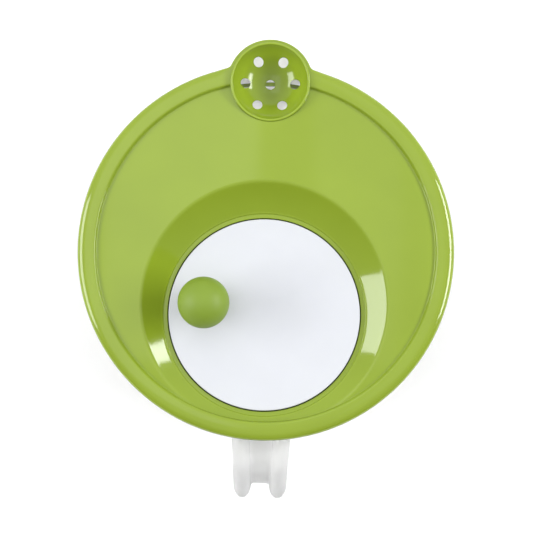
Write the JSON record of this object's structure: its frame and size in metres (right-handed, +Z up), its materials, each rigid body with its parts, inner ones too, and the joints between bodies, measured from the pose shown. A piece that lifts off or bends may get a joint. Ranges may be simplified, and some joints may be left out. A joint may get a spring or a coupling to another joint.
{
  "type": "hand-cranked whisking bowl",
  "caption": "Round frosted bowl with a pouring spout, a forked handle, a domed lid with a sunk crank disc and ball knob, a lift-out perforated drip cup and a geared whisk inside.",
  "frame": {"origin": "centre of the flat pad under the bowl, at table level, on the bowl's axis", "axes": "+Z up along the bowl's axis, +Y towards the spout and drip cup, -Y towards the handle"},
  "size_m": [0.18, 0.2208, 0.1394],
  "materials": {
    "bowl_plastic": "frosted translucent",
    "pad_rubber": "matt",
    "lid_plastic": "gloss",
    "housing_plastic": "satin",
    "disc_plastic": "satin",
    "knob_plastic": "satin",
    "cup_plastic": "gloss",
    "gear_plastic": "satin",
    "whisk_plastic": "satin",
    "steel": "satin"
  },
  "bodies": {
    "bowl": {"mixing_bowl": "bowl_plastic", "bowl_handle": "bowl_plastic", "base_pad": "pad_rubber"},
    "lid": {"lid": "lid_plastic", "gear_housing": "housing_plastic", "housing_screws": "steel", "crank_bush": "gear_plastic", "pinion_bush": "gear_plastic"},
    "crank": {"crank_disc": "disc_plastic", "ring_gear": "gear_plastic", "gear_screws": "steel", "crank_axle": "steel", "crank_washer": "steel", "crank_screw": "steel", "knob_pin": "steel", "knob_washer": "gear_plastic", "knob_clip": "steel"},
    "knob": {"crank_knob": "knob_plastic"},
    "whisk": {"pinion_gear": "gear_plastic", "whisk_shaft": "steel", "shaft_clip": "steel", "whisk_collar": "whisk_plastic", "outer_loops": "whisk_plastic", "inner_loops": "whisk_plastic", "whisk_foot": "whisk_plastic"},
    "cup": {"drip_cup": "cup_plastic"}
  },
  "joints": [
    {"name": "lid_lift", "type": "slide", "parent": "bowl", "child": "lid", "axis": [0, 0, 1], "range_m": [0, 0.14]},
    {"name": "crank_turn", "type": "hinge", "parent": "lid", "child": "crank", "pos_m": [0, -0.03, 0.11], "axis": [0, 0, 1], "continuous": true},
    {"name": "whisk_turn", "type": "hinge", "parent": "lid", "child": "whisk", "pos_m": [0, 0, 0.1], "axis": [0, 0, 1], "continuous": true},
    {"name": "knob_spin", "type": "hinge", "parent": "crank", "child": "knob", "pos_m": [-0.0286, -0.02521, 0.1272], "axis": [0, 0, 1], "continuous": true},
    {"name": "cup_lift", "type": "slide", "parent": "lid", "child": "cup", "axis": [0, 0, 1], "range_m": [0, 0.03]}
  ],
  "couplings": [
    {"joint": "whisk_turn", "follows": "crank_turn", "ratio": 3.8571}
  ]
}
